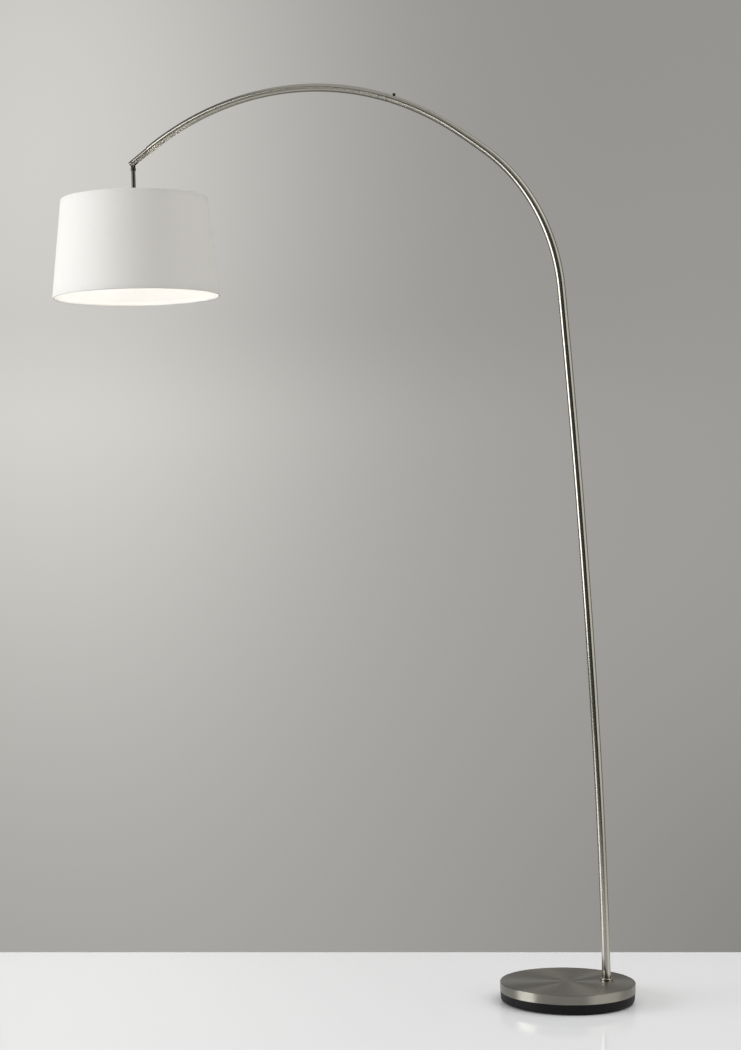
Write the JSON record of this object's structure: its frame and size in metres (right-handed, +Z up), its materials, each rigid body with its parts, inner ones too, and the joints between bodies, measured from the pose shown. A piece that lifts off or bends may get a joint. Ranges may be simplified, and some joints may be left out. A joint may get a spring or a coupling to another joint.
{
  "type": "arc floor lamp",
  "caption": "Arc floor lamp: heavy round base, bowed steel pole, sliding curved arm and a hanging tilting drum shade.",
  "frame": {"origin": "on the floor under the middle of the round base", "axes": "+Z up along the pole; -X from the base towards the shade, along the plane of the arm; +Y across it, away from the side the lamp is seen from"},
  "size_m": [1.4925, 0.4094, 2.0962],
  "materials": {
    "brushed_steel": "brushed nickel-plated steel, satin",
    "dark_steel": "blackened steel",
    "stem_steel": "plated steel, darker",
    "zinc_steel": "zinc plated",
    "cast_iron": "as cast, primed",
    "black_plastic": "moulded, satin black",
    "felt": "pressed felt",
    "rubber": "moulded",
    "nylon": "natural nylon",
    "phenolic": "moulded phenolic",
    "brass": "bright",
    "cap_metal": "bright",
    "opal_glass": "opal",
    "shade_fabric": "white linen-weave cloth on a stiff lining",
    "wire": "white powder coat",
    "cable": "round flexible cable"
  },
  "bodies": {
    "stand": {"floor_pad": "felt", "base_pan": "black_plastic", "pan_screws": "zinc_steel", "base_weight": "cast_iron", "base_cover": "brushed_steel", "cord_gland": "rubber", "foot_nut": "zinc_steel", "foot_spring_washer": "zinc_steel", "foot_flat_washer": "zinc_steel", "foot_nipple": "zinc_steel", "foot_plug": "zinc_steel", "foot_collar": "brushed_steel", "lower_pole": "brushed_steel", "pole_seam_bush": "zinc_steel", "pole_seam_stud": "zinc_steel", "upper_pole": "brushed_steel", "arc_seam_bush": "zinc_steel", "arc_seam_stud": "zinc_steel", "arc_tube": "brushed_steel", "glide_bush": "nylon", "stand_cable": "cable"},
    "arm": {"slide_tube": "brushed_steel", "tail_bush": "nylon", "arm_sleeve": "zinc_steel", "arm_tube": "brushed_steel", "end_rod": "brushed_steel", "friction_washers": "nylon", "pivot_pin": "dark_steel", "arm_cable": "cable"},
    "lock": {"lock_screw": "dark_steel"},
    "head": {"knuckle": "dark_steel", "stem_tube": "stem_steel", "socket_cap": "brushed_steel", "socket_body": "phenolic", "screw_shell": "brass", "centre_contact": "brass", "switch_body": "phenolic", "shade_ring": "phenolic", "bulb_cap": "cap_metal", "bulb_glass": "opal_glass", "shade_cloth": "shade_fabric", "shade_frame": "wire", "shade_bottom_wire": "wire", "head_cable": "cable"},
    "switch": {"switch_shaft": "zinc_steel", "switch_knob": "phenolic"}
  },
  "joints": [
    {"name": "arm_slide", "type": "hinge", "parent": "stand", "child": "arm", "pos_m": [-0.70271, 0.049, 1.34971], "axis": [0, -1, 0], "range_deg": [0, 7]},
    {"name": "lock_turn", "type": "hinge", "parent": "stand", "child": "lock", "pos_m": [-0.44988, 0.049, 2.04198], "axis": [0.3431, 0, 0.9393], "range_deg": [0, 360]},
    {"name": "shade_tilt", "type": "hinge", "parent": "arm", "child": "head", "pos_m": [-1.14791, 0.049, 1.93946], "axis": [0, 1, 0], "range_deg": [-45, 45]},
    {"name": "switch_turn", "type": "hinge", "parent": "head", "child": "switch", "pos_m": [-1.11756, 0.049, 1.83033], "axis": [0.9995, 0, 0.0305], "continuous": true}
  ]
}
